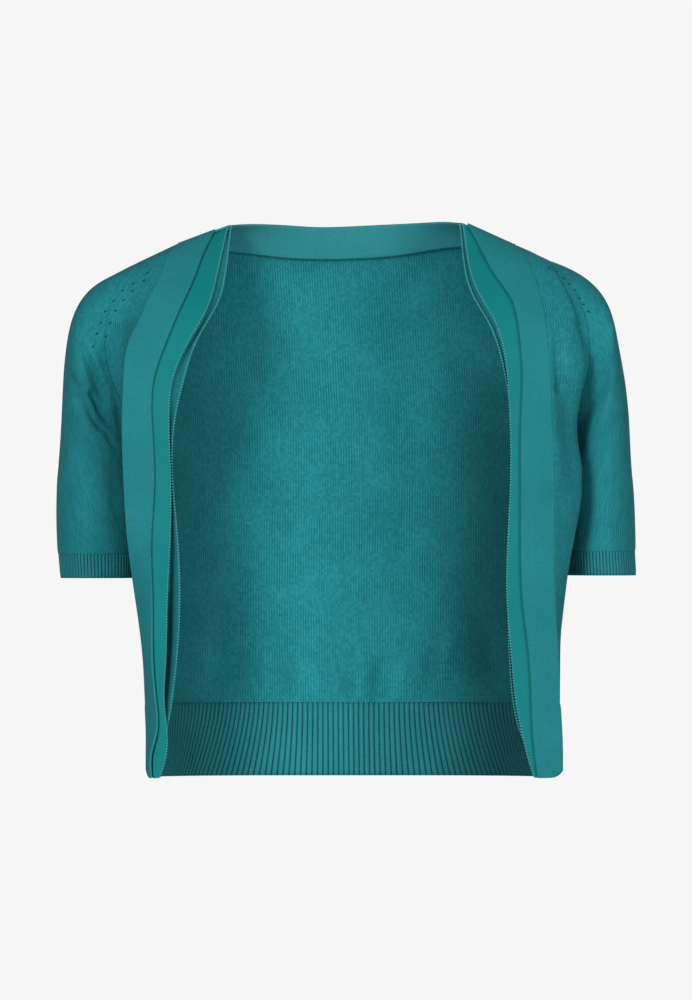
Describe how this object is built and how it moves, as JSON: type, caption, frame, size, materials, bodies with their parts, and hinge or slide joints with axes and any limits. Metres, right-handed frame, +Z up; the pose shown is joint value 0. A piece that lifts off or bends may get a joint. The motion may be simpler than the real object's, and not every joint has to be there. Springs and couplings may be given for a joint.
{
  "type": "bolero jacket",
  "caption": "Short-sleeved open-fronted bolero in fine knit, with ribbed hem and cuffs, layered smooth front bands and a back neck band.",
  "frame": {"origin": "midway between the two shoulder seams at the neck, level with the neck edge, where the wearer's shoulders hold it", "axes": "+Z up as worn, +X towards the wearer's left, the open front faces -Y"},
  "size_m": [0.4351, 0.1834, 0.4168],
  "materials": {
    "body_knit": "fine jersey knit, teal, matt",
    "band_knit": "close flat knit, teal, matt",
    "smooth_strip": "smooth woven-look strip, brighter teal, low sheen",
    "rib_knit": "ribbed knit, teal, matt"
  },
  "bodies": {
    "root": {"back_panel": "body_knit", "front_panel_right": "body_knit", "front_panel_left": "body_knit", "sleeve_right": "body_knit", "sleeve_left": "body_knit", "cuff_rib_right": "rib_knit", "cuff_rib_left": "rib_knit", "back_hem_rib": "rib_knit", "front_hem_rib_right": "rib_knit", "front_hem_rib_left": "rib_knit", "front_band_right": "band_knit", "front_band_left": "band_knit", "band_facing_right": "smooth_strip", "band_facing_left": "smooth_strip", "inner_band_right": "band_knit", "inner_band_left": "band_knit", "neck_band": "band_knit"}
  },
  "joints": []
}
